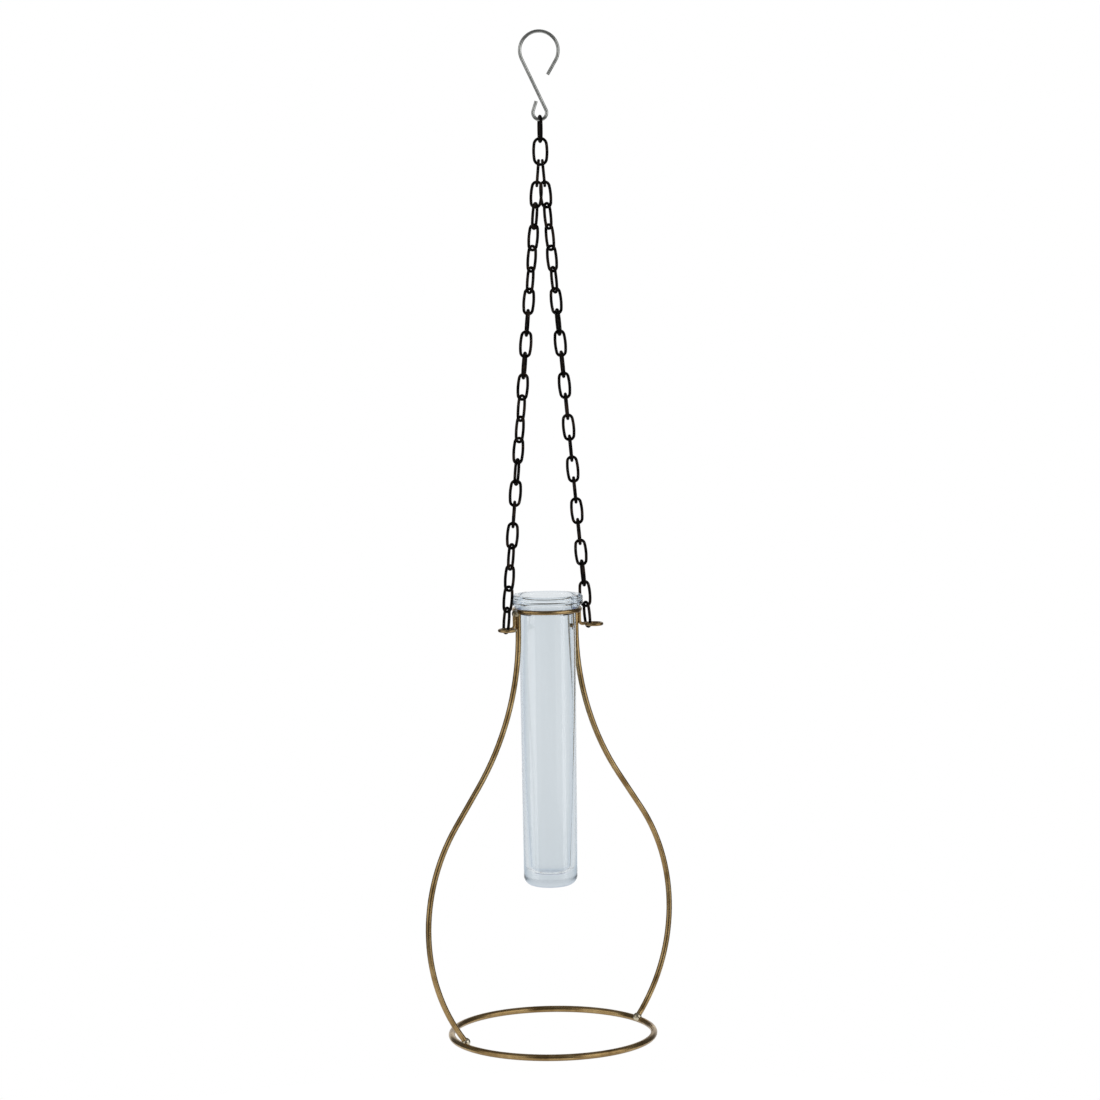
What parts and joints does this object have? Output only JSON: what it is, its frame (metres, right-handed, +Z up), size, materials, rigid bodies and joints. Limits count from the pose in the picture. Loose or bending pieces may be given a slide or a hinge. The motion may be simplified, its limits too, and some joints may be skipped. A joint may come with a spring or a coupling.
{
  "type": "hanging bud vase",
  "caption": "Hanging bud vase: a flared glass tube resting in the collar of a bottle-shaped brass wire frame, hung by two chain strands from an S-hook.",
  "frame": {"origin": "inside of the top of the hook's upper bow, where it bears on the rail", "axes": "+Z up, along the plumb line; +X through the two eyes from left to right; +Y to the back"},
  "size_m": [0.1296, 0.0965, 0.4607],
  "materials": {
    "galvanised_wire": "dull zinc-coated wire",
    "black_chain": "blackened steel, half gloss",
    "antique_brass": "antique brass, half matt, uneven patina",
    "braze": "pale braze, bright",
    "clear_glass": "clear glass, thin-walled at mid-height, thick at neck and heel"
  },
  "bodies": {
    "hook": {"s_hook": "galvanised_wire"},
    "top_link": {"top_link": "black_chain"},
    "junction_link": {"junction_link": "black_chain"},
    "chain_pair_01": {"left_link_01": "black_chain", "right_link_01": "black_chain"},
    "chain_pair_02": {"left_link_02": "black_chain", "right_link_02": "black_chain"},
    "chain_pair_03": {"left_link_03": "black_chain", "right_link_03": "black_chain"},
    "chain_pair_04": {"left_link_04": "black_chain", "right_link_04": "black_chain"},
    "chain_pair_05": {"left_link_05": "black_chain", "right_link_05": "black_chain"},
    "chain_pair_06": {"left_link_06": "black_chain", "right_link_06": "black_chain"},
    "chain_pair_07": {"left_link_07": "black_chain", "right_link_07": "black_chain"},
    "chain_pair_08": {"left_link_08": "black_chain", "right_link_08": "black_chain"},
    "chain_pair_09": {"left_link_09": "black_chain", "right_link_09": "black_chain"},
    "chain_pair_10": {"left_link_10": "black_chain", "right_link_10": "black_chain"},
    "chain_pair_11": {"left_link_11": "black_chain", "right_link_11": "black_chain"},
    "chain_pair_12": {"left_link_12": "black_chain", "right_link_12": "black_chain"},
    "chain_pair_13": {"left_link_13": "black_chain", "right_link_13": "black_chain"},
    "chain_pair_14": {"left_link_14": "black_chain", "right_link_14": "black_chain"},
    "chain_pair_15": {"left_link_15": "black_chain", "right_link_15": "black_chain"},
    "chain_pair_16": {"left_link_16": "black_chain", "right_link_16": "black_chain"},
    "chain_pair_17": {"left_link_17": "black_chain", "right_link_17": "black_chain"},
    "chain_pair_18": {"left_link_18": "black_chain", "right_link_18": "black_chain"},
    "chain_pair_19": {"left_link_19": "black_chain", "right_link_19": "black_chain"},
    "chain_pair_20": {"left_link_20": "black_chain", "right_link_20": "black_chain"},
    "chain_pair_21": {"left_link_21": "black_chain", "right_link_21": "black_chain"},
    "chain_pair_22": {"left_link_22": "black_chain", "right_link_22": "black_chain"},
    "frame": {"collar_ring": "antique_brass", "base_ring": "antique_brass", "left_upright": "antique_brass", "right_upright": "antique_brass", "left_eye": "antique_brass", "right_eye": "antique_brass", "left_foot_braze": "braze", "right_foot_braze": "braze", "left_collar_braze": "braze", "right_collar_braze": "braze"},
    "tube": {"glass_tube": "clear_glass"}
  },
  "joints": [
    {"name": "top_link_swing", "type": "hinge", "parent": "hook", "child": "top_link", "pos_m": [0, 0, -0.0388], "axis": [0.8746, -0.4848, 0], "range_deg": [-60, 60]},
    {"name": "junction_swing", "type": "hinge", "parent": "top_link", "child": "junction_link", "pos_m": [0, 0, -0.04863], "axis": [0.2588, 0.9659, 0], "range_deg": [-60, 60]},
    {"name": "chain_pair_01_fold", "type": "hinge", "parent": "junction_link", "child": "chain_pair_01", "pos_m": [0, 0, -0.05887], "axis": [0.8746, -0.4848, 0], "range_deg": [-25, 25]},
    {"name": "chain_pair_02_fold", "type": "hinge", "parent": "chain_pair_01", "child": "chain_pair_02", "pos_m": [0, 0, -0.06753], "axis": [-0.9763, 0.2163, 0], "range_deg": [-25, 25]},
    {"name": "chain_pair_03_fold", "type": "hinge", "parent": "chain_pair_02", "child": "chain_pair_03", "pos_m": [0, 0, -0.07714], "axis": [0.9906, -0.1365, 0], "range_deg": [-25, 25]},
    {"name": "chain_pair_04_fold", "type": "hinge", "parent": "chain_pair_03", "child": "chain_pair_04", "pos_m": [0, 0, -0.08674], "axis": [-0.9953, 0.0967, 0], "range_deg": [-25, 25]},
    {"name": "chain_pair_05_fold", "type": "hinge", "parent": "chain_pair_04", "child": "chain_pair_05", "pos_m": [0, 0, -0.09635], "axis": [0.9973, -0.073, 0], "range_deg": [-25, 25]},
    {"name": "chain_pair_06_fold", "type": "hinge", "parent": "chain_pair_05", "child": "chain_pair_06", "pos_m": [0, 0, -0.10595], "axis": [-0.9984, 0.0573, 0], "range_deg": [-25, 25]},
    {"name": "chain_pair_07_fold", "type": "hinge", "parent": "chain_pair_06", "child": "chain_pair_07", "pos_m": [0, 0, -0.11555], "axis": [0.9989, -0.0462, 0], "range_deg": [-25, 25]},
    {"name": "chain_pair_08_fold", "type": "hinge", "parent": "chain_pair_07", "child": "chain_pair_08", "pos_m": [0, 0, -0.12516], "axis": [-0.9993, 0.0378, 0], "range_deg": [-25, 25]},
    {"name": "chain_pair_09_fold", "type": "hinge", "parent": "chain_pair_08", "child": "chain_pair_09", "pos_m": [0, 0, -0.13476], "axis": [0.9995, -0.0313, 0], "range_deg": [-25, 25]},
    {"name": "chain_pair_10_fold", "type": "hinge", "parent": "chain_pair_09", "child": "chain_pair_10", "pos_m": [0, 0, -0.14437], "axis": [-0.9997, 0.0262, 0], "range_deg": [-25, 25]},
    {"name": "chain_pair_11_fold", "type": "hinge", "parent": "chain_pair_10", "child": "chain_pair_11", "pos_m": [0, 0, -0.15397], "axis": [0.9998, -0.0219, 0], "range_deg": [-25, 25]},
    {"name": "chain_pair_12_fold", "type": "hinge", "parent": "chain_pair_11", "child": "chain_pair_12", "pos_m": [0, 0, -0.16357], "axis": [-0.9998, 0.0184, 0], "range_deg": [-25, 25]},
    {"name": "chain_pair_13_fold", "type": "hinge", "parent": "chain_pair_12", "child": "chain_pair_13", "pos_m": [0, 0, -0.17318], "axis": [0.9999, -0.0155, 0], "range_deg": [-25, 25]},
    {"name": "chain_pair_14_fold", "type": "hinge", "parent": "chain_pair_13", "child": "chain_pair_14", "pos_m": [0, 0, -0.18278], "axis": [-0.9999, 0.0129, 0], "range_deg": [-25, 25]},
    {"name": "chain_pair_15_fold", "type": "hinge", "parent": "chain_pair_14", "child": "chain_pair_15", "pos_m": [0, 0, -0.19239], "axis": [0.9999, -0.0107, 0], "range_deg": [-25, 25]},
    {"name": "chain_pair_16_fold", "type": "hinge", "parent": "chain_pair_15", "child": "chain_pair_16", "pos_m": [0, 0, -0.20199], "axis": [-1, 0.0088, 0], "range_deg": [-25, 25]},
    {"name": "chain_pair_17_fold", "type": "hinge", "parent": "chain_pair_16", "child": "chain_pair_17", "pos_m": [0, 0, -0.21159], "axis": [1, -0.0071, 0], "range_deg": [-25, 25]},
    {"name": "chain_pair_18_fold", "type": "hinge", "parent": "chain_pair_17", "child": "chain_pair_18", "pos_m": [0, 0, -0.2212], "axis": [-1, 0.0056, 0], "range_deg": [-25, 25]},
    {"name": "chain_pair_19_fold", "type": "hinge", "parent": "chain_pair_18", "child": "chain_pair_19", "pos_m": [0, 0, -0.2308], "axis": [1, -0.0043, 0], "range_deg": [-25, 25]},
    {"name": "chain_pair_20_fold", "type": "hinge", "parent": "chain_pair_19", "child": "chain_pair_20", "pos_m": [0, 0, -0.24041], "axis": [-1, 0.0031, 0], "range_deg": [-25, 25]},
    {"name": "chain_pair_21_fold", "type": "hinge", "parent": "chain_pair_20", "child": "chain_pair_21", "pos_m": [0, 0, -0.25001], "axis": [1, -0.002, 0], "range_deg": [-25, 25]},
    {"name": "chain_pair_22_fold", "type": "hinge", "parent": "chain_pair_21", "child": "chain_pair_22", "pos_m": [0, 0, -0.25961], "axis": [-1, 0.001, 0], "range_deg": [-25, 25]},
    {"name": "frame_swing", "type": "hinge", "parent": "chain_pair_22", "child": "frame", "pos_m": [0, 0, -0.26854], "axis": [1, 0, 0], "range_deg": [-45, 45]},
    {"name": "tube_lift", "type": "slide", "parent": "frame", "child": "tube", "axis": [0, 0, 1], "range_m": [0, 0.004]}
  ]
}
